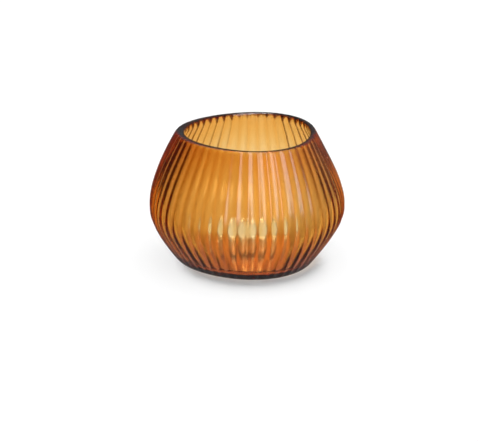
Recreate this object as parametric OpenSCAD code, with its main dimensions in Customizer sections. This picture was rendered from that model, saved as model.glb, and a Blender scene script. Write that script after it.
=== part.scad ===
// Tealight holder: a blown glass vessel with vertical cut flutes, and the loose tealight that stands in it.
// Millimetres, +Z up. The origin is the middle of the vessel's ground foot, on the surface it stands on.

/* [Vessel] */
// Height from the foot to the ground rim
vessel_h = 80; // [72:1:90]
// Mean radius of the foot, over the crests of the flutes
foot_r = 42.5; // [38:0.5:46]
// Mean radius at the belly, over the crests of the flutes
belly_r = 60; // [56:0.5:64]
// Height of the belly above the foot
belly_z = 33.5; // [28:0.5:38]
// Mean radius of the rim's outer edge, over the crests of the flutes
mouth_r = 42.5; // [38:0.5:46]
// Roundness of the belly: small gives a sharp shoulder, large a wide curve
belly_roundness = 0.52; // [0.3:0.02:0.9]
// Thickness of the wall just under the rim's inner lip, over the crests
rim_wall = 5.8; // [5:0.1:6.5]
// Thickness of the wall at the belly, over the crests
belly_wall = 3.2; // [2.8:0.1:4.5]
// Thickness of the wall at the foot, over the crests
foot_wall = 5.2; // [4:0.1:7]
// Thickness of the floor under the tealight
floor_t = 4; // [3:0.5:6]
// Radius of the corner between the inner floor and the wall
floor_corner = 4; // [3:0.5:6]
// Height of the rounding at the foot's edge
foot_round_h = 2; // [1.2:0.2:3]
// How far that rounding goes in
foot_round_w = 0.9; // [0.6:0.1:1.6]
// Height of the rounding at the rim's outer edge
rim_round_h = 1.2; // [0.8:0.1:2]
// How far that rounding goes in
rim_round_w = 0.6; // [0.3:0.1:0.9]
// Height of the lip's flare inside the rim
lip_h = 4.5; // [3:0.5:6]
// How far the lip flares out
lip_w = 1.9; // [1:0.1:2.2]

/* [Soft three-cornered plan] */
// How far the foot's three corners stand out, as a share of its radius
foot_corner = 0.03; // [0:0.005:0.05]
// The same at the belly
belly_corner = 0.005; // [0:0.005:0.03]
// The same at the rim
mouth_corner = 0.04; // [0:0.005:0.06]
// Direction of one corner, in degrees from +X
corner_dir = 177; // [150:1:200]
// How far the hand-blown mouth sits off the foot's centre, along +X
mouth_shift = 0.8; // [0:0.1:2]
// How far the mouth's inside sits off its outside, along +X, which thickens the rim on one side
bore_shift = 0.7; // [0:0.1:1.2]

/* [Flutes] */
// Number of vertical cut flutes
flutes = 52; // [44:4:60]
// Depth of a flute at the belly
belly_flute = 1.1; // [0.7:0.1:1.4]
// Depth of a flute at the foot
foot_flute = 0.55; // [0.4:0.05:0.9]
// Depth of a flute at the rim
rim_flute = 0.6; // [0.4:0.05:0.9]
// Softness of the crests between the flutes: 0 leaves them sharp
crest_soft = 0.2; // [0:0.05:0.4]

/* [Tealight cup] */
// Outer radius of the cup's wall at the top, under the bead
cup_r = 18.9; // [18.5:0.1:19.5]
// Height of the cup, with its rolled rim
cup_h = 14; // [13:0.5:16]
// How much narrower the cup is at the bottom than at the top
cup_draft = 0.5; // [0:0.1:0.8]
// Thickness of the pressed aluminium
cup_wall = 0.3; // [0.2:0.05:0.4]
// Radius of the bead rolled round the cup's rim
bead_r = 0.55; // [0.4:0.05:0.7]
// Outer radius of the corner between the cup's wall and its bottom
cup_corner = 1.6; // [1:0.1:2.5]
// Height of the step pressed into the middle of the cup's bottom
cup_step = 0.5; // [0.3:0.1:0.8]

/* [Wax, wick and sustainer] */
// Height of the wax
wax_h = 11; // [9:0.5:11.5]
// Depth of the dish in the top of the wax, round the wick
wax_dish = 0.6; // [0.2:0.1:1]
// Gap between the wax and the cup's wall
wax_gap = 0.3; // [0.2:0.05:0.4]
// Radius of the sustainer's disc
disc_r = 6.5; // [6:0.25:10]
// Height of the neck that grips the wick
neck_h = 3.5; // [3:0.5:5]
// Radius of the wick
wick_r = 0.85; // [0.6:0.05:1]
// Length of wick that stands above the wax
wick_free = 8; // [6:0.5:10]
// Angle through which the wick's tip leans over
wick_lean = 28; // [10:1:45]

/* [Hidden] */

// Sides of the round metal and wax parts, and of the thin ones
round_fn = 96;
thin_fn = 48;
// Points across one flute, steps round a rounded edge, and steps up the wall below and above the belly
flute_points = 4;
round_steps = 3;
lower_steps = 5;
upper_steps = 7;
outer_sides = flutes * flute_points;
inner_sides = outer_sides / 2;

// Gap under the cup, and gap between the pieces of the tealight
seat_gap = 0.1;
slip_gap = 0.05;

// The sustainer's sheet thickness and its neck's outer radius, and how far a cut runs past what it cuts
sheet_t = 0.25;
neck_r = wick_r + slip_gap + sheet_t;
past = 1;

// Levels of the cup and of the candle in it, and the cup's outer radius at its bottom
cup_z = floor_t + seat_gap;
candle_z = cup_z + cup_step + cup_wall + slip_gap;
cup_bottom_r = cup_r - cup_draft;

function mix(a, b, t) = a + (b - a) * t;
function smooth(t) = t * t * (3 - 2 * t);

// A hyperbola that leaves 0 level and reaches 1 at t = 1: the fall of the wall away from the belly
function fall(t) =
    let (c = belly_roundness) (sqrt(t * t + c * c) - c) / (sqrt(1 + c * c) - c);

// Share of the way from the belly to the foot or to the rim, at height z
function from_belly(z) = z < belly_z ? (belly_z - z) / belly_z : (z - belly_z) / (vessel_h - belly_z);

// A value that is at_foot, at_belly and at_mouth at those levels, and runs smoothly between
function along_wall(z, at_foot, at_belly, at_mouth) =
    mix(at_belly, z < belly_z ? at_foot : at_mouth, smooth(from_belly(z)));

// Mean radius of the outside at height z, over the crests
function outer_r(z) = mix(belly_r, z < belly_z ? foot_r : mouth_r, fall(from_belly(z)));

// A quarter round: 1 at t = 0, where it leaves square, and 0 from t = 1 on, where it runs in level
function quarter(t) = let (u = 1 - min(t, 1)) 1 - sqrt(1 - u * u);

// Mean radius of the inside at height z: the outside less the wall, with a round corner and a flared lip
function inner_r(z) =
    outer_r(z) - along_wall(z, foot_wall, belly_wall, rim_wall)
        - floor_corner * quarter((z - floor_t) / floor_corner)
        + lip_w * pow(max(0, 1 - (vessel_h - z) / lip_h), 2);

// How much the round foot and the round rim take off the radius at height z
function rounding(z) =
    foot_round_w * quarter(z / foot_round_h) + rim_round_w * quarter((vessel_h - z) / rim_round_h);

// Shape of the plan at height z in direction a, as a share of the mean radius
function plan(a, z) =
    1 + along_wall(z, foot_corner, belly_corner, mouth_corner) * cos(3 * (a - corner_dir));

// How deep the flutes cut in direction a: nothing at a softened crest, 1 in the middle of a flute
function cut(a) =
    let (
        f = a * flutes / 360 - floor(a * flutes / 360),
        c = crest_soft,
        off_crest = (sqrt(pow(1 - abs(2 * f - 1), 2) + c * c) - c) / (sqrt(1 + c * c) - c))
        off_crest * (2 - off_crest);

// The point at radius r in direction a at height z, where the mouth sits off centre by shift
function at(r, a, z, shift) = [r * cos(a) + shift * z / vessel_h, r * sin(a), z];

// The rounded edges take off the crests first, so each flute ends in a small scallop
function outer_point(a, z) =
    let (depth = along_wall(z, foot_flute, belly_flute, rim_flute))
        at(outer_r(z) * plan(a, z) - max(depth * cut(a), rounding(z)), a, z, mouth_shift);

function inner_point(a, z) = at(inner_r(z) * plan(a, z), a, z, mouth_shift + bore_shift);

// Heights of the rings of points, which crowd together where an edge is rounded
corner_z = floor_t + floor_corner;
shoulder_z = vessel_h - rim_round_h;
outer_z = concat(
    [for (i = [0:round_steps - 1]) foot_round_h * pow(i / round_steps, 2)],
    [for (i = [0:lower_steps - 1]) mix(foot_round_h, belly_z, i / lower_steps)],
    [for (i = [0:upper_steps - 1]) mix(belly_z, shoulder_z, i / upper_steps)],
    [for (i = [round_steps:-1:0]) vessel_h - rim_round_h * pow(i / round_steps, 2)]);
inner_z = concat(
    [for (i = [0:round_steps - 1]) corner_z - floor_corner * cos(90 * i / round_steps)],
    [for (i = [0:lower_steps - 2]) mix(corner_z, belly_z, i / (lower_steps - 1))],
    [for (i = [0:upper_steps - 2]) mix(belly_z, vessel_h - lip_h, i / (upper_steps - 1))],
    [for (i = [round_steps:-1:0]) vessel_h - lip_h * i / round_steps]);

// Ring i's point j, in the list of all the vessel's points
function o(i, j) = i * outer_sides + j % outer_sides;
function n(i, j) = len(outer_z) * outer_sides + i * inner_sides + j % inner_sides;

// One piece of blown glass: the fluted outside, the smooth inside, the rim and the ground foot
module glass_vessel() {
    points = concat(
        [for (z = outer_z, j = [0:outer_sides - 1]) outer_point(j * 360 / outer_sides, z)],
        [for (z = inner_z, j = [0:inner_sides - 1]) inner_point(j * 360 / inner_sides, z)],
        [[0, 0, 0], [0, 0, floor_t]]);
    top = len(outer_z) - 1;
    brim = len(inner_z) - 1;
    half = outer_sides / inner_sides;
    foot_middle = len(points) - 2;
    floor_middle = len(points) - 1;
    foot = [for (j = [0:outer_sides - 1]) [foot_middle, o(0, j), o(0, j + 1)]];
    seat = [for (j = [0:inner_sides - 1]) [floor_middle, n(0, j + 1), n(0, j)]];
    outside = [for (i = [0:top - 1], j = [0:outer_sides - 1], side = [0, 1])
        side == 0 ? [o(i, j), o(i + 1, j), o(i + 1, j + 1)] : [o(i, j), o(i + 1, j + 1), o(i, j + 1)]];
    inside = [for (i = [0:brim - 1], j = [0:inner_sides - 1], side = [0, 1])
        side == 0 ? [n(i, j), n(i, j + 1), n(i + 1, j + 1)] : [n(i, j), n(i + 1, j + 1), n(i + 1, j)]];
    rim = [for (j = [0:inner_sides - 1], k = [0:half])
        k < half
            ? [n(brim, j), o(top, half * j + k + 1), o(top, half * j + k)]
            : [n(brim, j), n(brim, j + 1), o(top, half * j + half)]];
    color([0.85, 0.5, 0.12, 0.6])
        polyhedron(points, concat(foot, outside, seat, inside, rim), convexity = 10);
}

// Half the cup's section: a bottom stepped up inside the ring it stands on, a corner and a wall with draft
module cup_section() {
    corner_points = 6;
    ring_w = 1.5;
    step_r = cup_bottom_r - cup_corner - ring_w;
    function corner(r) = [for (i = [0:corner_points])
        let (a = -90 + 90 * i / corner_points)
            [cup_bottom_r - cup_corner + r * cos(a), cup_corner + r * sin(a)]];
    outside = concat(
        [[0, cup_step], [step_r - cup_step, cup_step], [step_r, 0]],
        corner(cup_corner),
        [[cup_r, cup_h - bead_r]]);
    inner_corner = corner(cup_corner - cup_wall);
    inside = concat(
        [[cup_r - cup_wall, cup_h - bead_r]],
        [for (i = [corner_points:-1:0]) inner_corner[i]],
        [[step_r, cup_wall], [step_r - cup_step, cup_step + cup_wall], [0, cup_step + cup_wall]]);
    polygon(concat(outside, inside));
}

// Pressed aluminium cup with its rim rolled outwards
module tealight_cup() {
    color("silver") translate([0, 0, cup_z]) {
        rotate_extrude($fn = round_fn) cup_section();
        translate([0, 0, cup_h - bead_r])
            rotate_extrude($fn = round_fn)
                translate([cup_r - cup_wall + bead_r, 0]) circle(r = bead_r, $fn = thin_fn);
    }
}

// Half the wax block's section: a chamfered bottom edge, a rounded top edge and a dish round the wick
module wax_section() {
    bottom_r = cup_bottom_r - cup_wall - wax_gap;
    top_r = bottom_r + cup_draft * wax_h / cup_h;
    edge = 1.4;
    dish_floor_r = 4 * wick_r;
    polygon([
        [0, wax_h - wax_dish],
        [dish_floor_r, wax_h - wax_dish],
        [top_r - 2 * edge, wax_h - wax_dish / 6],
        [top_r - edge / 2, wax_h],
        [top_r, wax_h - edge / 3],
        [bottom_r, edge],
        [bottom_r - edge, 0],
        [0, 0]]);
}

// Pressed paraffin, with a pocket underneath for the sustainer and a hole up the middle for the wick
module wax_block() {
    color("ivory") translate([0, 0, candle_z]) difference() {
        rotate_extrude($fn = round_fn) wax_section();
        translate([0, 0, -past]) {
            cylinder(r = wick_r + slip_gap, h = wax_h + 2 * past, $fn = thin_fn);
            cylinder(r = disc_r + slip_gap, h = sheet_t + slip_gap + past, $fn = round_fn);
            cylinder(r = neck_r + slip_gap, h = neck_h + slip_gap + past, $fn = thin_fn);
        }
    }
}

// Tinned steel disc with a neck that is crimped on the wick
module wick_sustainer() {
    color("lightgrey") translate([0, 0, candle_z]) difference() {
        union() {
            cylinder(r = disc_r, h = sheet_t, $fn = round_fn);
            cylinder(r = neck_r, h = neck_h, $fn = thin_fn);
        }
        translate([0, 0, -past]) cylinder(r = wick_r + slip_gap, h = neck_h + 2 * past, $fn = thin_fn);
    }
}

// Braided cotton wick: straight up through the wax and a little above it, then bent over along an arc
module wick() {
    upright = 1.5;
    bend_r = (wick_free - upright) / (wick_lean * PI / 180);
    straight_h = wax_h - wax_dish + upright;
    color("linen") translate([0, 0, candle_z]) {
        cylinder(r = wick_r, h = straight_h, $fn = thin_fn);
        translate([bend_r, 0, straight_h]) rotate([90, 0, 180])
            rotate_extrude(angle = wick_lean, $fn = round_fn)
                translate([bend_r, 0]) circle(r = wick_r, $fn = thin_fn);
    }
}

glass_vessel();
tealight_cup();
wax_block();
wick_sustainer();
wick();
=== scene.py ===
import math

import bpy
import numpy as np
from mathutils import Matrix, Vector


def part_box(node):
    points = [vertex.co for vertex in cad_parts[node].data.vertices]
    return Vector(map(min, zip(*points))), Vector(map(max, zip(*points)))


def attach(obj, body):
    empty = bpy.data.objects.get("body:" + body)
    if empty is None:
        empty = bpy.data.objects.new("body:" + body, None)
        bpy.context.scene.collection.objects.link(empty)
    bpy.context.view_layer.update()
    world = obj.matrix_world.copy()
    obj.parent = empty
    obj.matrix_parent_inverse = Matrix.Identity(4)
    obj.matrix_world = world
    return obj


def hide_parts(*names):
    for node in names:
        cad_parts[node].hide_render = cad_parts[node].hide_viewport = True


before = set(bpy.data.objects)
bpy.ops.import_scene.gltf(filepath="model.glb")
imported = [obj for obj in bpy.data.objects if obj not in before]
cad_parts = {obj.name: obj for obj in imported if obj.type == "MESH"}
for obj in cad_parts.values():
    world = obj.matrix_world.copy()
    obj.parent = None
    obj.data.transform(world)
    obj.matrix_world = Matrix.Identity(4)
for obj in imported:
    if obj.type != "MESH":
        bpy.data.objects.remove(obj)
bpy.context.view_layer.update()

SEED = 26
VESSEL_LOW, VESSEL_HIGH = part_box("glass_vessel")
CUP_LOW, CUP_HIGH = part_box("tealight_cup")
WAX_LOW, WAX_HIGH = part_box("wax_block")
DISC_LOW, DISC_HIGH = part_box("wick_sustainer")
WICK_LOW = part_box("wick")[0]

# The vessel's proportions. It is 80 mm high, and every other size goes with its height.
HEIGHT = VESSEL_HIGH.z - VESSEL_LOW.z
MM = HEIGHT / 80
BELLY_Z = 33.5 * MM
FOOT_R = 42.5 * MM
BELLY_R = 59.99 * MM  # 0.01 mm under the CAD's, so that the finer mesh stays inside its box
MOUTH_R = 42.5 * MM
ROUNDNESS = 0.52
RIM_WALL = 5.8 * MM
BELLY_WALL = 3.2 * MM
FOOT_WALL = 5.2 * MM
FLOOR_T = 4 * MM
FLOOR_CORNER = 4 * MM
FOOT_ROUND_H, FOOT_ROUND_W = 2 * MM, 0.9 * MM
RIM_ROUND_H, RIM_ROUND_W = 1.2 * MM, 0.6 * MM
LIP_H, LIP_W = 4.5 * MM, 1.9 * MM
FOOT_CORNER, BELLY_CORNER, MOUTH_CORNER = 0.03, 0.005, 0.04
CORNER_DIR = math.radians(177)
MOUTH_SHIFT = 0.8 * MM
BORE_SHIFT = 0.7 * MM
FLUTES = 52
FLUTE_POINTS = 12
FLUTE_DEPTH = 1.1 * MM
FOOT_DEPTH = 0.55 * MM
MOUTH_DEPTH = 0.6 * MM
CREST = 0.2

# The tealight's own sizes, beyond those of its boxes
CUP_R = 18.9 * MM
CUP_DRAFT = 0.5 * MM
CUP_WALL = 0.3 * MM
CUP_CORNER = 1.6 * MM
CUP_STEP = 0.5 * MM
BEAD_R = 0.55 * MM
WAX_GAP = 0.3 * MM
WAX_DISH = 0.6 * MM
SLIP_GAP = 0.05 * MM
SHEET = 0.25 * MM
WICK_R = 0.85 * MM
WICK_FREE, WICK_UPRIGHT = 8 * MM, 1.5 * MM
WICK_LEAN = math.radians(28)


# ---------------------------------------------------------------- mesh helpers

def mesh_object(name, points, faces, material):
    mesh = bpy.data.meshes.new(name)
    mesh.from_pydata([tuple(p) for p in points], [], [tuple(f) for f in faces])
    mesh.validate()
    mesh.shade_smooth()
    mesh.materials.append(material)
    piece = bpy.data.objects.new(name, mesh)
    bpy.context.scene.collection.objects.link(piece)
    return piece


def ring_faces(rings, sides, first=0):
    """Quads between successive rings of points, for an open tube."""
    faces = []
    for i in range(rings - 1):
        for j in range(sides):
            k = (j + 1) % sides
            low, high = first + i * sides, first + (i + 1) * sides
            faces.append((low + j, low + k, high + k, high + j))
    return faces


def cap_faces(ring, centre, sides, up):
    """A fan that closes a ring of points with a centre point, facing up or down."""
    pairs = [(ring + j, ring + (j + 1) % sides) for j in range(sides)]
    return [(centre, a, b) if up else (centre, b, a) for a, b in pairs]


# ---------------------------------------------------------------- the vessel

def fall(t):
    c = ROUNDNESS
    return (np.sqrt(t * t + c * c) - c) / (math.sqrt(1 + c * c) - c)


def smooth(t):
    return t * t * (3 - 2 * t)


def from_belly(z):
    return np.where(z < BELLY_Z, (BELLY_Z - z) / BELLY_Z, (z - BELLY_Z) / (HEIGHT - BELLY_Z))


def along_wall(z, at_foot, at_belly, at_mouth):
    end = np.where(z < BELLY_Z, at_foot, at_mouth)
    return at_belly + (end - at_belly) * smooth(from_belly(z))


def outer_r(z):
    end = np.where(z < BELLY_Z, FOOT_R, MOUTH_R)
    return BELLY_R + (end - BELLY_R) * fall(from_belly(z))


def inner_r(z):
    corner = FLOOR_CORNER * (1 - np.sqrt(1 - np.clip((FLOOR_T + FLOOR_CORNER - z) / FLOOR_CORNER, 0, 1) ** 2))
    lip = LIP_W * np.clip(1 - (HEIGHT - z) / LIP_H, 0, 1) ** 2
    return outer_r(z) - along_wall(z, FOOT_WALL, BELLY_WALL, RIM_WALL) - corner + lip


def plan(a, z):
    return 1 + along_wall(z, FOOT_CORNER, BELLY_CORNER, MOUTH_CORNER) * np.cos(3 * (a - CORNER_DIR))


def rounding(z):
    """How much the round foot and the round rim take off the radius at height z."""
    def quarter(t):
        return 1 - np.sqrt(1 - (1 - np.clip(t, 0, 1)) ** 2)
    return FOOT_ROUND_W * quarter(z / FOOT_ROUND_H) + RIM_ROUND_W * quarter((HEIGHT - z) / RIM_ROUND_H)


def placed(r, a, z, shift):
    return np.stack([r * np.cos(a) + shift * z / HEIGHT, r * np.sin(a), z + 0 * a], -1)


def outside_ring(z, a, flute, cut):
    """One ring of the outside. Each flute was cut by hand, so its depth wanders a little up the wall."""
    depth = along_wall(z, FOOT_DEPTH, FLUTE_DEPTH, MOUTH_DEPTH) * flute["depth"]
    wander, wave = 0.06, 14 * MM
    depth = depth * (1 + wander * np.sin(z / wave + flute["phase"]))
    return placed(outer_r(z) * plan(a, z) - np.maximum(depth * cut, rounding(z)), a, z, MOUTH_SHIFT)


def glass_vessel(material):
    rng = np.random.default_rng(SEED)
    sides = FLUTES * FLUTE_POINTS
    j = np.arange(sides)
    number, f = j // FLUTE_POINTS, (j % FLUTE_POINTS) / FLUTE_POINTS
    # Each crest wanders to one side, but those at the four ends of the axes stay, as they set the box
    crest = rng.uniform(-0.05, 0.05, FLUTES)
    crest[::FLUTES // 4] = 0
    left, right = crest[number], crest[(number + 1) % FLUTES]
    a = (number + left + f * (1 + right - left)) * 2 * math.pi / FLUTES
    flute = {"depth": rng.uniform(0.78, 1.2, FLUTES)[number], "phase": rng.uniform(0, 6.28, FLUTES)[number]}
    off_crest = np.sqrt((1 - np.abs(2 * f - 1)) ** 2 + CREST ** 2) - CREST
    off_crest /= math.sqrt(1 + CREST ** 2) - CREST
    cut = off_crest * (2 - off_crest)

    edge_rings, wall_rings, lip_rings, bore_rings, corner_rings = 9, 72, 12, 50, 12
    edge = np.linspace(0, 1, edge_rings) ** 2
    outer_z = np.concatenate([
        FOOT_ROUND_H * edge,
        np.linspace(FOOT_ROUND_H, HEIGHT - RIM_ROUND_H, wall_rings)[1:-1],
        HEIGHT - RIM_ROUND_H * edge[::-1]])
    rings = [outside_ring(z, a, flute, cut) for z in outer_z]
    outside_rings = len(rings)

    inner_z = np.concatenate([
        HEIGHT - LIP_H * np.linspace(0, 1, lip_rings),
        np.linspace(HEIGHT - LIP_H, FLOOR_T + FLOOR_CORNER, bore_rings)[1:-1],
        FLOOR_T + FLOOR_CORNER * (1 - np.sin(np.linspace(0, math.pi / 2, corner_rings)))])
    rings += [placed(inner_r(z) * plan(a, z), a, z, MOUTH_SHIFT + BORE_SHIFT) for z in inner_z]
    points = np.concatenate(rings + [[[0, 0, 0], [0, 0, FLOOR_T]]])
    total = len(rings)
    last = (total - 1) * sides
    faces = ring_faces(total, sides)
    faces += cap_faces(0, len(points) - 2, sides, up=False)
    faces += cap_faces(last, len(points) - 1, sides, up=True)
    vessel = mesh_object("fluted_glass", points, faces, material)

    # The glass's material tells the outside and the ground faces by these
    foot_middle = len(points) - 2
    outside = np.zeros(len(points), np.float32)
    outside[:outside_rings * sides] = 1
    outside[foot_middle] = 1
    ground = np.zeros(len(points), np.float32)
    ground[:sides] = 1
    ground[foot_middle] = 1
    ground[(outside_rings - 1) * sides:(outside_rings + 1) * sides] = 1
    for name, values in (("outside", outside), ("ground", ground)):
        vessel.data.attributes.new(name, "FLOAT", "POINT").data.foreach_set("value", values)
    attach(vessel, "vessel")
    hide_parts("glass_vessel")
    return vessel


# ---------------------------------------------------------------- the tealight

def lathe(name, loop, sides, material, closed, warp):
    """Turns a loop of (radius, height) pairs round the axis. A closed loop leaves a hole up the middle,
    an open one is closed by a centre point at each end. The warp moves each point a little."""
    a = np.arange(sides) * 2 * math.pi / sides
    rings = []
    for r, z in loop:
        radius, height = warp(np.full(sides, r), np.full(sides, z), a)
        rings.append(np.stack([radius * np.cos(a), radius * np.sin(a), height], -1))
    if closed:
        points = np.concatenate(rings)
        faces = ring_faces(len(rings), sides)
        last = (len(rings) - 1) * sides
        faces += [(last + j, last + (j + 1) % sides, (j + 1) % sides, j) for j in range(sides)]
    else:
        points = np.concatenate(rings + [[[0, 0, loop[0][1]], [0, 0, loop[-1][1]]]])
        faces = ring_faces(len(rings), sides)
        faces += cap_faces(0, len(points) - 2, sides, up=False)
        faces += cap_faces((len(rings) - 1) * sides, len(points) - 1, sides, up=True)
    return mesh_object(name, points, faces, material)


def arc(r, z, radius, start, end, steps):
    """Points of (radius, height) round an arc in the section."""
    return [(r + radius * math.cos(math.radians(t)), z + radius * math.sin(math.radians(t)))
            for t in np.linspace(start, end, steps)]


def line(start, end, steps):
    return [tuple(np.array(start) + (np.array(end) - np.array(start)) * t) for t in np.linspace(0, 1, steps)]


def tealight_cup(material):
    """Pressed from thin sheet: puckers run down from the rolled rim, and rings are pressed in the bottom."""
    rng = np.random.default_rng(SEED + 1)
    bottom, top = CUP_LOW.z, CUP_HIGH.z
    bottom_r = CUP_R - CUP_DRAFT
    step_r = bottom_r - CUP_CORNER - 1.5 * MM
    corner_r, corner_z = bottom_r - CUP_CORNER, bottom + CUP_CORNER
    bead_z = top - BEAD_R
    inner_top = CUP_R - CUP_WALL
    bead_mid = inner_top + BEAD_R

    def bottom_rings(height):
        groove = 0.15 * MM
        marks = [(0.3, 0), (3, 0), (3.4, 1), (3.8, 1), (4.2, 0), (9, 0), (9.4, 1), (9.8, 1), (10.2, 0)]
        return [(r * MM, height - groove * deep) for r, deep in marks]

    loop = bottom_rings(bottom + CUP_STEP)
    loop += [(step_r - CUP_STEP, bottom + CUP_STEP)]
    loop += [(step_r - 0.2 * MM, bottom + 0.08 * MM), (step_r, bottom)]
    loop += arc(corner_r, corner_z, CUP_CORNER, -90, 0, 9)
    loop += line((bottom_r, corner_z + 0.5 * MM), (CUP_R, bead_z - 0.4 * MM), 18)
    loop += arc(bead_mid, bead_z, BEAD_R, -130, 180, 20)
    loop += line((inner_top, bead_z - 0.4 * MM), (bottom_r - CUP_WALL, corner_z + 0.5 * MM), 18)
    loop += arc(corner_r, corner_z, CUP_CORNER - CUP_WALL, 0, -90, 9)
    inside = bottom + CUP_WALL
    loop += [(step_r, inside), (step_r - CUP_STEP, inside + CUP_STEP)]
    loop += [(r, z) for r, z in bottom_rings(inside + CUP_STEP)[::-1]]

    puckers = 64
    where = np.sort(rng.uniform(0, 2 * math.pi, puckers))
    wide = np.radians(rng.uniform(1.4, 3.2, puckers))
    deep = rng.uniform(0.03, 0.12, puckers) * MM
    reach = rng.uniform(0.35, 1.0, puckers)
    tall = bead_z - corner_z

    def warp(r, z, a):
        turn = (a[:, None] - where[None, :] + math.pi) % (2 * math.pi) - math.pi
        down = np.clip((bead_z - z[:, None]) / (tall * reach[None, :]), 0, 1)
        fade = np.where(z[:, None] > bead_z, 0.3, (1 - down) ** 1.5)
        crease = (deep * fade * np.exp(-(turn / wide) ** 2)).sum(1)
        on_wall = np.clip((z - corner_z) / MM, 0, 1) * (r > bottom_r - 2 * MM)
        return r - np.minimum(crease, 0.16 * MM) * on_wall, z

    cup = lathe("pressed_cup", loop, 360, material, closed=False, warp=warp)
    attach(cup, "tealight")
    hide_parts("tealight_cup")


def candle_hole():
    return WICK_R + SLIP_GAP


def wax_block(material):
    """Poured wax: it sank a little round the wick as it set, and crept up the wick and the cup's wall."""
    rng = np.random.default_rng(SEED + 2)
    bottom, top = WAX_LOW.z, WAX_HIGH.z
    top_r = WAX_HIGH.x
    bottom_r = CUP_R - CUP_DRAFT - CUP_WALL - WAX_GAP
    edge = 1.4 * MM
    hole = candle_hole()
    neck = hole + SHEET + SLIP_GAP
    pocket = DISC_HIGH.x + SLIP_GAP
    neck_top = DISC_HIGH.z + SLIP_GAP
    sheet_top = bottom + SHEET + SLIP_GAP
    dish = top - WAX_DISH
    creep_h, creep_w = 0.28 * MM, 0.7 * MM

    loop = [(pocket, bottom)]
    loop += line((pocket + 0.5 * MM, bottom), (bottom_r - edge, bottom), 10)
    loop += arc(bottom_r - edge, bottom + edge, edge, -80, 0, 7)
    loop += line((bottom_r, bottom + edge + 0.4 * MM), (top_r, top - edge / 2), 12)
    loop += arc(top_r - edge / 2, top - edge / 2, edge / 2, 15, 90, 7)
    for t in np.linspace(0.02, 1, 34):
        r = top_r - edge / 2 + (hole + 0.05 * MM - top_r + edge / 2) * t
        creep = creep_h * math.exp(-(r - hole) / creep_w)
        loop.append((r, dish + WAX_DISH * (r / top_r) ** 6 + creep))
    loop += line((hole, dish + 0.2 * MM), (hole, neck_top), 6)
    loop += [(neck, neck_top), (neck, sheet_top), (pocket, sheet_top)]

    waves = [(rng.integers(2, 7), rng.uniform(0, 6.28), rng.uniform(0.15, 0.6) / MM, rng.uniform(0, 6.28))
             for _ in range(9)]

    def warp(r, z, a):
        wave = sum(np.sin(n * a + p) * np.sin(r * k + q) for n, p, k, q in waves) / 9
        surface = (z > dish - 0.05 * MM) & (r > 2 * MM) & (r < top_r - 1.5 * MM)
        side = (z > bottom + edge) & (z < top - edge / 2) & (r > bottom_r - 0.1 * MM)
        return r - 0.05 * MM * side * (1 + wave) / 2, z - 0.12 * MM * surface * (1 + wave) / 2

    wax = lathe("poured_wax", loop, 180, material, closed=True, warp=warp)
    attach(wax, "candle")
    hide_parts("wax_block")


def wick_sustainer(material):
    """Stamped disc with a pressed ring and a drawn neck, which is crimped on the wick with four dents."""
    bottom, top = DISC_LOW.z, DISC_HIGH.z
    disc_r = DISC_HIGH.x
    hole = candle_hole()
    neck = hole + SHEET
    loop = [(hole, bottom)]
    loop += line((neck + 0.3 * MM, bottom), (disc_r - 0.1 * MM, bottom), 8)
    loop += [(disc_r, bottom + 0.08 * MM), (disc_r, bottom + SHEET - 0.08 * MM)]
    loop += [(disc_r - 0.1 * MM, bottom + SHEET)]
    ring = [(4.4, 0), (4.1, 0.08), (3.7, 0.08), (3.4, 0)]
    loop += [(r * MM, bottom + SHEET - deep * MM) for r, deep in ring]
    loop += [(neck + 0.3 * MM, bottom + SHEET), (neck, bottom + SHEET + 0.1 * MM)]
    loop += line((neck, bottom + 0.6 * MM), (neck, top - 0.05 * MM), 12)
    loop += [(neck - 0.06 * MM, top), (hole + 0.04 * MM, top), (hole, top - 0.06 * MM)]
    loop += line((hole, top - 0.4 * MM), (hole, bottom + 0.2 * MM), 8)

    dent_z, dent_h, dent_depth = 2.2 * MM, 0.6 * MM, 0.14 * MM

    def warp(r, z, a):
        level = np.exp(-((z - bottom - dent_z) / dent_h) ** 2)
        dent = np.clip(np.cos(4 * a), 0, 1) ** 2 * level * (np.abs(r - neck) < 0.02 * MM)
        return r - dent_depth * dent, z

    disc = lathe("crimped_sustainer", loop, 120, material, closed=True, warp=warp)
    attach(disc, "candle")
    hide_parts("wick_sustainer")


def wick_point(s):
    """The wick's centre line at length s, with the direction across it: upright, then bent towards +X."""
    straight = WAX_HIGH.z - WAX_LOW.z - WAX_DISH + WICK_UPRIGHT
    bend_r = (WICK_FREE - WICK_UPRIGHT) / WICK_LEAN
    turn = max(0, s - straight) / bend_r
    x = bend_r * (1 - math.cos(turn))
    z = min(s, straight) + bend_r * math.sin(turn)
    return Vector((x, 0, WICK_LOW.z + z)), Vector((math.cos(turn), 0, -math.sin(turn)))


def tube(path, radii, sides, points, faces):
    """Adds a closed round tube along a path to a mesh's points and faces."""
    first = len(points)
    for i, (centre, radius) in enumerate(zip(path, radii)):
        ahead = path[min(i + 1, len(path) - 1)] - path[max(i - 1, 0)]
        across = ahead.cross(Vector((0, 1, 0))).normalized()
        other = ahead.normalized().cross(across)
        for j in range(sides):
            a = 2 * math.pi * j / sides
            points.append(centre + (across * math.cos(a) + other * math.sin(a)) * radius)
    faces += ring_faces(len(path), sides, first)
    last = first + (len(path) - 1) * sides
    faces.append(tuple(first + j for j in reversed(range(sides))))
    faces.append(tuple(last + j for j in range(sides)))


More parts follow.
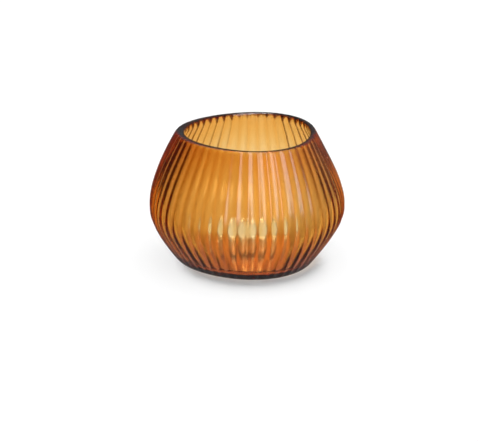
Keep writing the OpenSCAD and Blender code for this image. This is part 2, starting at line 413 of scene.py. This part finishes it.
def wick(material):
    """Three strands of cotton, each of four yarns, plaited flat and cut off with a short frayed end."""
    rng = np.random.default_rng(SEED + 3)
    length = WAX_HIGH.z - WAX_LOW.z - WAX_DISH + WICK_FREE
    plait, twist = 3.4 * MM, 1.5 * MM
    yarn_r, fibre_r = 0.155 * MM, 0.022 * MM
    foot = 0.15 * MM  # keeps the yarns' lower ends off the cup
    points, faces = [], []
    steps = 150
    for strand in range(3):
        for yarn in range(4):
            path, radii = [], []
            ends = length - rng.uniform(0.5, 1.1) * MM
            for s in np.linspace(foot, ends, steps):
                t = 2 * math.pi * (s / plait + strand / 3)
                spin = 2 * math.pi * (s / twist + yarn / 4)
                across, deep = 0.36 * math.sin(t), 0.17 * math.sin(2 * t)
                across += 0.15 * math.cos(spin)
                deep += 0.15 * math.sin(spin)
                centre, side = wick_point(s)
                path.append(centre + side * across * MM + Vector((0, deep * MM, 0)))
                radii.append(yarn_r)
            tube(path, radii, 7, points, faces)
    for fibre in range(40):
        start = length - rng.uniform(1.0, 1.8) * MM
        end = length - rng.uniform(0.25, 0.75) * MM
        a, r = rng.uniform(0, 6.28), rng.uniform(0.1, 0.4)
        flare = rng.uniform(1.0, 1.7)
        path = []
        for t in np.linspace(0, 1, 6):
            centre, side = wick_point(start + (end - start) * t)
            out = r * (1 + (flare - 1) * t * t) * MM
            path.append(centre + side * out * math.cos(a) + Vector((0, out * math.sin(a), 0)))
        tube(path, [fibre_r * (1 - 0.5 * i / 5) for i in range(6)], 4, points, faces)
    piece = mesh_object("braided_wick", points, faces, material)
    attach(piece, "candle")
    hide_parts("wick")


# ---------------------------------------------------------------- materials

def new_material(name):
    """A material with its node tree and its Principled shader."""
    material = bpy.data.materials.new(name)
    material.use_nodes = True
    nodes = material.node_tree.nodes
    return material, material.node_tree, nodes["Principled BSDF"]


def add_node(tree, kind, **inputs):
    """Adds a node, and sets its properties or its sockets by name, with _ for a space."""
    node = tree.nodes.new(kind)
    for key, value in inputs.items():
        if hasattr(node, key):
            setattr(node, key, value)
        else:
            node.inputs[key.replace("_", " ")].default_value = value
    return node


def noise(tree, scale, detail, stretch=(1, 1, 1)):
    """Noise in the object's own space, so that it travels with the piece. The scale is per metre."""
    coordinate = add_node(tree, "ShaderNodeTexCoord")
    mapping = add_node(tree, "ShaderNodeMapping")
    mapping.inputs["Scale"].default_value = stretch
    texture = add_node(tree, "ShaderNodeTexNoise", Scale=scale, Detail=detail)
    tree.links.new(coordinate.outputs["Object"], mapping.inputs["Vector"])
    tree.links.new(mapping.outputs["Vector"], texture.inputs["Vector"])
    return texture.outputs["Fac"]


def spread(tree, value, low, high, start=0.3, end=0.7):
    """Maps the middle of a noise's range on low to high."""
    node = add_node(tree, "ShaderNodeMapRange", From_Min=start, From_Max=end, To_Min=low, To_Max=high)
    tree.links.new(value, node.inputs["Value"])
    return node.outputs["Result"]


def blend(tree, value, dark, light):
    node = add_node(tree, "ShaderNodeMix", data_type="RGBA")
    node.inputs["A"].default_value = (*dark, 1)
    node.inputs["B"].default_value = (*light, 1)
    tree.links.new(value, node.inputs["Factor"])
    return node.outputs["Result"]


def add_bump(tree, shader, heights, distance):
    """Chains one bump for each height."""
    normal = None
    for height, strength in heights:
        node = add_node(tree, "ShaderNodeBump", Strength=strength, Distance=distance)
        tree.links.new(height, node.inputs["Height"])
        if normal:
            tree.links.new(normal, node.inputs["Normal"])
        normal = node.outputs["Normal"]
    tree.links.new(normal, shader.inputs["Normal"])


def amber_glass():
    """Amber all through. The flutes keep a satin from the wheel, streaked along the cut, the inside is
    fire-polished, and the rim and the foot are ground matt."""
    material, tree, shader = new_material("cut_amber_glass")
    shader.inputs["Base Color"].default_value = (1, 1, 1, 1)
    shader.inputs["Transmission Weight"].default_value = 1
    shader.inputs["IOR"].default_value = 1.47
    outside = add_node(tree, "ShaderNodeAttribute", attribute_name="outside")
    ground = add_node(tree, "ShaderNodeAttribute", attribute_name="ground")
    satin = add_node(tree, "ShaderNodeMapRange", To_Min=0.05, To_Max=0.2)
    tree.links.new(outside.outputs["Fac"], satin.inputs["Value"])
    rough = add_node(tree, "ShaderNodeMapRange", To_Max=0.15)
    tree.links.new(ground.outputs["Fac"], rough.inputs["Value"])
    tree.links.new(satin.outputs["Result"], rough.inputs["To Min"])
    wheel = noise(tree, 1300, 3, (1, 1, 0.05))
    haze = noise(tree, 90, 4)
    uneven = add_node(tree, "ShaderNodeMath", operation="MULTIPLY")
    tree.links.new(rough.outputs["Result"], uneven.inputs[0])
    streaky = add_node(tree, "ShaderNodeMath", operation="MULTIPLY")
    tree.links.new(spread(tree, wheel, 0.8, 1.25), streaky.inputs[0])
    tree.links.new(spread(tree, haze, 0.85, 1.15), streaky.inputs[1])
    tree.links.new(streaky.outputs["Value"], uneven.inputs[1])
    tree.links.new(uneven.outputs["Value"], shader.inputs["Roughness"])
    add_bump(tree, shader, [(wheel, 0.12), (haze, 0.1)], 0.08 * MM)
    absorb = add_node(tree, "ShaderNodeVolumeAbsorption")
    absorb.inputs["Color"].default_value = (0.895, 0.625, 0.0, 1)
    absorb.inputs["Density"].default_value = 490
    tree.links.new(absorb.outputs["Volume"], tree.nodes["Material Output"].inputs["Volume"])
    return material


def aluminium():
    """Bright rolled sheet with fine lines drawn up the wall and a few dull patches."""
    material, tree, shader = new_material("bright_aluminium")
    shader.inputs["Metallic"].default_value = 1
    drawn = noise(tree, 900, 3, (1, 1, 0.04))
    patch = noise(tree, 180, 4)
    tree.links.new(blend(tree, spread(tree, patch, 0, 1), (0.74, 0.75, 0.77), (0.9, 0.9, 0.91)),
                   shader.inputs["Base Color"])
    tree.links.new(spread(tree, drawn, 0.24, 0.42), shader.inputs["Roughness"])
    add_bump(tree, shader, [(drawn, 0.25), (patch, 0.3)], 0.1 * MM)
    return material


def paraffin():
    """White wax, mottled where it crystallised, with a few tiny pits."""
    material, tree, shader = new_material("white_paraffin")
    mottle = noise(tree, 420, 6)
    frost = noise(tree, 2600, 3)
    tree.links.new(blend(tree, spread(tree, mottle, 0, 1), (0.7, 0.67, 0.59), (0.8, 0.78, 0.72)),
                   shader.inputs["Base Color"])
    tree.links.new(spread(tree, mottle, 0.38, 0.55), shader.inputs["Roughness"])
    shader.inputs["Subsurface Weight"].default_value = 0.5
    shader.inputs["Subsurface Radius"].default_value = (1, 0.8, 0.6)
    shader.inputs["Subsurface Scale"].default_value = 2 * MM
    add_bump(tree, shader, [(mottle, 0.25), (frost, 0.2)], 0.15 * MM)
    return material


def tinned_steel():
    """Tin-plated sheet: a soft grey bloom with small scratches."""
    material, tree, shader = new_material("tin_plate")
    shader.inputs["Metallic"].default_value = 1
    bloom = noise(tree, 700, 5)
    scratch = noise(tree, 2400, 2, (1, 0.08, 1))
    tree.links.new(blend(tree, spread(tree, bloom, 0, 1), (0.52, 0.52, 0.53), (0.72, 0.72, 0.73)),
                   shader.inputs["Base Color"])
    tree.links.new(spread(tree, scratch, 0.28, 0.48), shader.inputs["Roughness"])
    add_bump(tree, shader, [(scratch, 0.3)], 0.05 * MM)
    return material


def cotton():
    """Waxed cotton yarn: fine fibres along the wick, with wax soaked in unevenly."""
    material, tree, shader = new_material("waxed_cotton")
    fibre = noise(tree, 9000, 3, (1, 1, 0.12))
    soaked = noise(tree, 900, 3)
    tree.links.new(blend(tree, spread(tree, soaked, 0, 1), (0.84, 0.8, 0.7), (0.95, 0.93, 0.88)),
                   shader.inputs["Base Color"])
    tree.links.new(spread(tree, soaked, 0.55, 0.85), shader.inputs["Roughness"])
    add_bump(tree, shader, [(fibre, 0.6)], 0.05 * MM)
    return material


def plain(name, colour, **values):
    material, tree, shader = new_material(name)
    shader.inputs["Base Color"].default_value = (*colour, 1)
    for key, value in values.items():
        shader.inputs[key.replace("_", " ")].default_value = value
    return material


# ---------------------------------------------------------------- studio

def studio(vessel):
    scene = bpy.context.scene
    scene.view_settings.view_transform = "Standard"
    scene.cycles.max_bounces = 24
    scene.cycles.transmission_bounces = 24
    scene.cycles.use_denoising = True
    scene.cycles.caustics_refractive = False
    scene.cycles.caustics_reflective = False
    soft_world()
    lights(vessel, pale_floor(), shadow_flag(radius=43 * MM, height=9.5 * MM))


def soft_world():
    """Brightest above and to one side. Reflections see it under the floor too, where it is a dim table."""
    world = bpy.data.worlds.new("studio")
    bpy.context.scene.world = world
    world.use_nodes = True
    tree = world.node_tree
    background = tree.nodes["Background"]
    background.inputs["Strength"].default_value = 0.36
    coordinate = add_node(tree, "ShaderNodeTexCoord")
    towards = add_node(tree, "ShaderNodeVectorMath", operation="DOT_PRODUCT")
    towards.inputs[1].default_value = (0.4, 0.25, 0.88)
    ramp = add_node(tree, "ShaderNodeMapRange", From_Min=0.1, From_Max=0.9, To_Min=0.2, To_Max=1.0)
    tree.links.new(coordinate.outputs["Generated"], towards.inputs[0])
    tree.links.new(towards.outputs["Value"], ramp.inputs["Value"])
    height = add_node(tree, "ShaderNodeSeparateXYZ")
    tree.links.new(coordinate.outputs["Generated"], height.inputs[0])
    table = add_node(tree, "ShaderNodeMapRange", From_Min=-0.3, From_Max=-0.8, To_Min=0.0, To_Max=0.6)
    tree.links.new(height.outputs["Z"], table.inputs["Value"])
    total = add_node(tree, "ShaderNodeMath", operation="ADD")
    tree.links.new(ramp.outputs["Result"], total.inputs[0])
    tree.links.new(table.outputs["Result"], total.inputs[1])
    tree.links.new(total.outputs["Value"], background.inputs["Color"])


def pale_floor():
    """A wide floor just under the foot. It stays out of reflections, where it would veil the dark glass."""
    half, gap = 3, 0.0003
    points = [(x, y, -gap) for x, y in ((-half, -half), (half, -half), (half, half), (-half, half))]
    floor = mesh_object("floor", points, [(0, 1, 2, 3)], plain("floor", (0.9, 0.9, 0.9), Roughness=0.9))
    floor.visible_glossy = False
    return floor


def lights(vessel, floor, flag):
    """The top and the key fall on the object only, and the others on the floor only. The glass stops
    nothing but the shade, and the flag nothing but the rear."""
    top = sky_light("top", azimuth=185, elevation=78, angle=25, strength=2.9)
    key = softbox("key", azimuth=24, elevation=24, distance=1.0, width=0.55, height=0.8, power=8)
    fill = sky_light("fill", azimuth=185, elevation=78, angle=25, strength=1.15)
    shade = sky_light("shade", azimuth=178, elevation=80, angle=120, strength=0.45)
    rear = sky_light("rear", azimuth=195, elevation=40, angle=40, strength=2.25)
    pool = spot("pool", x=2 * MM, height=0.5, radius=39 * MM, colour=(1.0, 0.55, 0.25), power=13)

    through = linked("lets_light_through", (vessel, flag), "EXCLUDE")
    for lamp in (top, key, fill, pool):
        lamp.light_linking.blocker_collection = through
    shade.light_linking.blocker_collection = linked("all_but_the_flag", (flag,), "EXCLUDE")
    rear.light_linking.blocker_collection = linked("only_the_flag", (flag,), "INCLUDE")
    off_floor = linked("not_on_the_floor", (floor,), "EXCLUDE")
    for lamp in (top, key):
        lamp.light_linking.receiver_collection = off_floor
    on_floor = linked("only_on_the_floor", (floor,), "INCLUDE")
    for lamp in (fill, shade, rear, pool):
        lamp.light_linking.receiver_collection = on_floor


def shadow_flag(radius, height):
    """A disc that nothing but the lights can see. It casts the short, dark shadow of the solid foot."""
    sides = 96
    turns = [2 * math.pi * i / sides for i in range(sides)]
    points = [(radius * math.cos(a), radius * math.sin(a), height) for a in turns]
    flag = mesh_object("flag", points, [tuple(range(sides))], plain("flag", (0, 0, 0)))
    flag.visible_camera = False
    flag.visible_diffuse = False
    flag.visible_glossy = False
    flag.visible_transmission = False
    return flag


def linked(name, pieces, state):
    """A light-linking collection that takes in, or leaves out, these objects."""
    collection = bpy.data.collections.new(name)
    for piece in pieces:
        collection.objects.link(piece)
    for item in collection.collection_objects:
        item.light_linking.link_state = state
    return collection


def direction_to(azimuth, elevation):
    """Azimuth 0 is the camera's side, and 90 its right."""
    a, e = math.radians(azimuth), math.radians(elevation)
    return Vector((math.sin(a) * math.cos(e), -math.cos(a) * math.cos(e), math.sin(e)))


def sky_light(name, azimuth, elevation, angle, strength):
    """A far, wide light that falls evenly on the whole floor."""
    light = bpy.data.lights.new(name, "SUN")
    light.angle = math.radians(angle)
    light.energy = strength
    lamp = bpy.data.objects.new(name, light)
    bpy.context.scene.collection.objects.link(lamp)
    lamp.rotation_euler = direction_to(azimuth, elevation).to_track_quat("Z", "Y").to_euler()
    return lamp


def spot(name, x, height, radius, colour, power):
    """A soft round pool of light on the floor under the glass: what the glass gathers on the table."""
    light = bpy.data.lights.new(name, "SPOT")
    light.spot_size = 2 * math.atan(radius / height)
    light.spot_blend = 0.4
    light.shadow_soft_size = 0.01
    light.color = colour
    light.energy = power
    lamp = bpy.data.objects.new(name, light)
    bpy.context.scene.collection.objects.link(lamp)
    lamp.location = (x, 0, height)
    return lamp


def softbox(name, azimuth, elevation, distance, width, height, power):
    """A rectangular light that faces the belly."""
    light = bpy.data.lights.new(name, "AREA")
    light.shape = "RECTANGLE"
    light.size = width
    light.size_y = height
    light.energy = power
    lamp = bpy.data.objects.new(name, light)
    bpy.context.scene.collection.objects.link(lamp)
    direction = direction_to(azimuth, elevation)
    lamp.location = Vector((0, 0, HEIGHT / 2)) + direction * distance
    lamp.rotation_euler = direction.to_track_quat("Z", "Y").to_euler()
    return lamp


def camera():
    """The view from the front and a little above. The aim lies below and left of the vessel's middle."""
    elevation, distance = math.radians(19.1), 1.1
    aim_left, aim_down = 0.0049, 0.0167
    data = bpy.data.cameras.new("camera")
    data.sensor_width = 36
    data.lens = 134.9
    cam = bpy.data.objects.new("camera", data)
    bpy.context.scene.collection.objects.link(cam)
    middle = Vector((0, 0, HEIGHT / 2))
    back = Vector((0, -math.cos(elevation), math.sin(elevation)))
    right = Vector((1, 0, 0))
    up = Vector((0, math.sin(elevation), math.cos(elevation)))
    cam.location = middle + back * distance
    aim = middle - right * aim_left - up * aim_down
    cam.rotation_euler = (cam.location - aim).to_track_quat("Z", "Y").to_euler()
    bpy.context.scene.camera = cam


camera()
studio(glass_vessel(amber_glass()))
tealight_cup(aluminium())
wax_block(paraffin())
wick_sustainer(tinned_steel())
wick(cotton())
